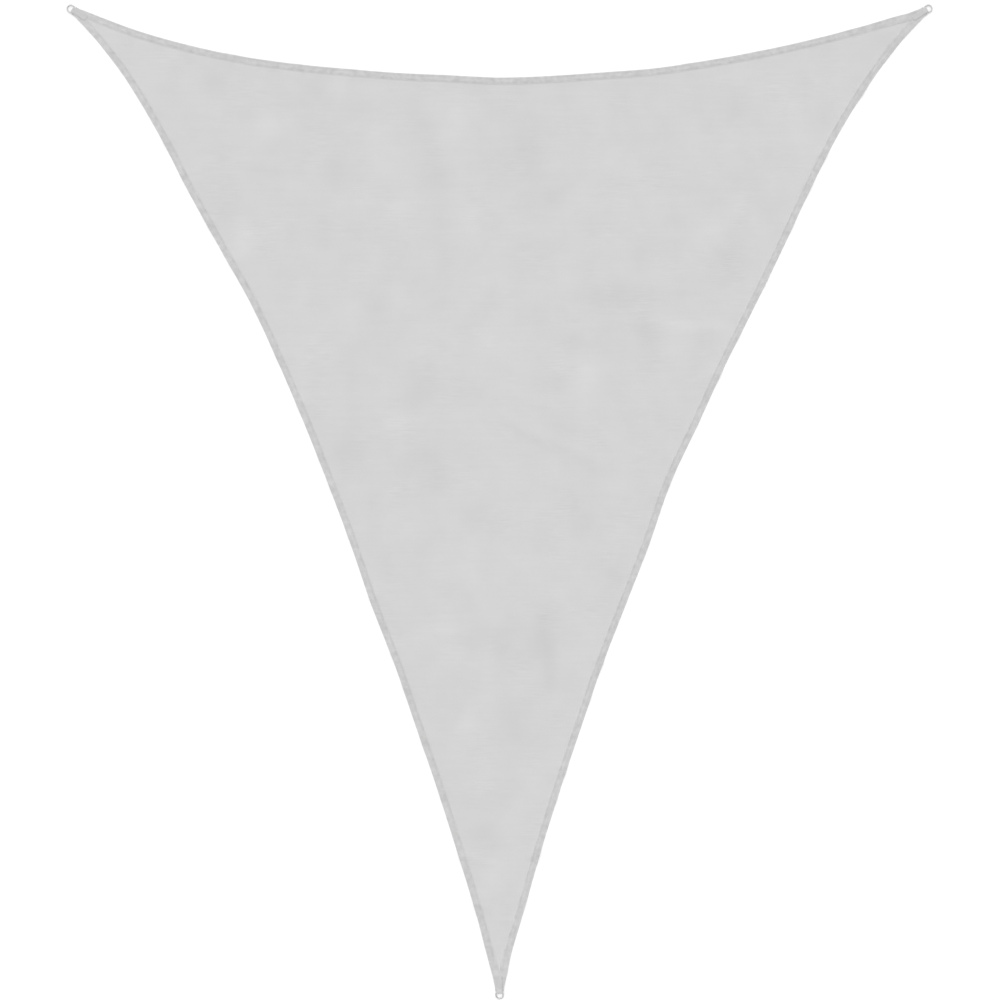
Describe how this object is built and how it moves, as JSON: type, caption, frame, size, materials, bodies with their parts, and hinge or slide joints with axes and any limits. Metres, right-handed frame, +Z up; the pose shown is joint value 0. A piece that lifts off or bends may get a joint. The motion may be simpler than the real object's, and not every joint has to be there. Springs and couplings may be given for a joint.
{
  "type": "shade sail",
  "caption": "Triangular shade sail of light grey knitted cloth with hollow-curved hemmed edges and a D-ring in a strap loop at each corner, laid out flat.",
  "frame": {"origin": "on the floor under the middle of the sail's box", "axes": "+Z up from the floor, +Y from the foot corner to the head edge, +X to the right along the head edge"},
  "size_m": [4.0308, 4.6297, 0.0106],
  "materials": {
    "cloth": "light grey knitted polyethylene, matt",
    "webbing": "light grey woven polyester webbing, matt",
    "ring_wire": "stainless steel wire, satin"
  },
  "bodies": {
    "root": {"sail_cloth": "cloth", "corner_strap_left": "webbing", "corner_strap_right": "webbing", "corner_strap_foot": "webbing", "d_ring_left": "ring_wire", "d_ring_right": "ring_wire", "d_ring_foot": "ring_wire"}
  },
  "joints": []
}
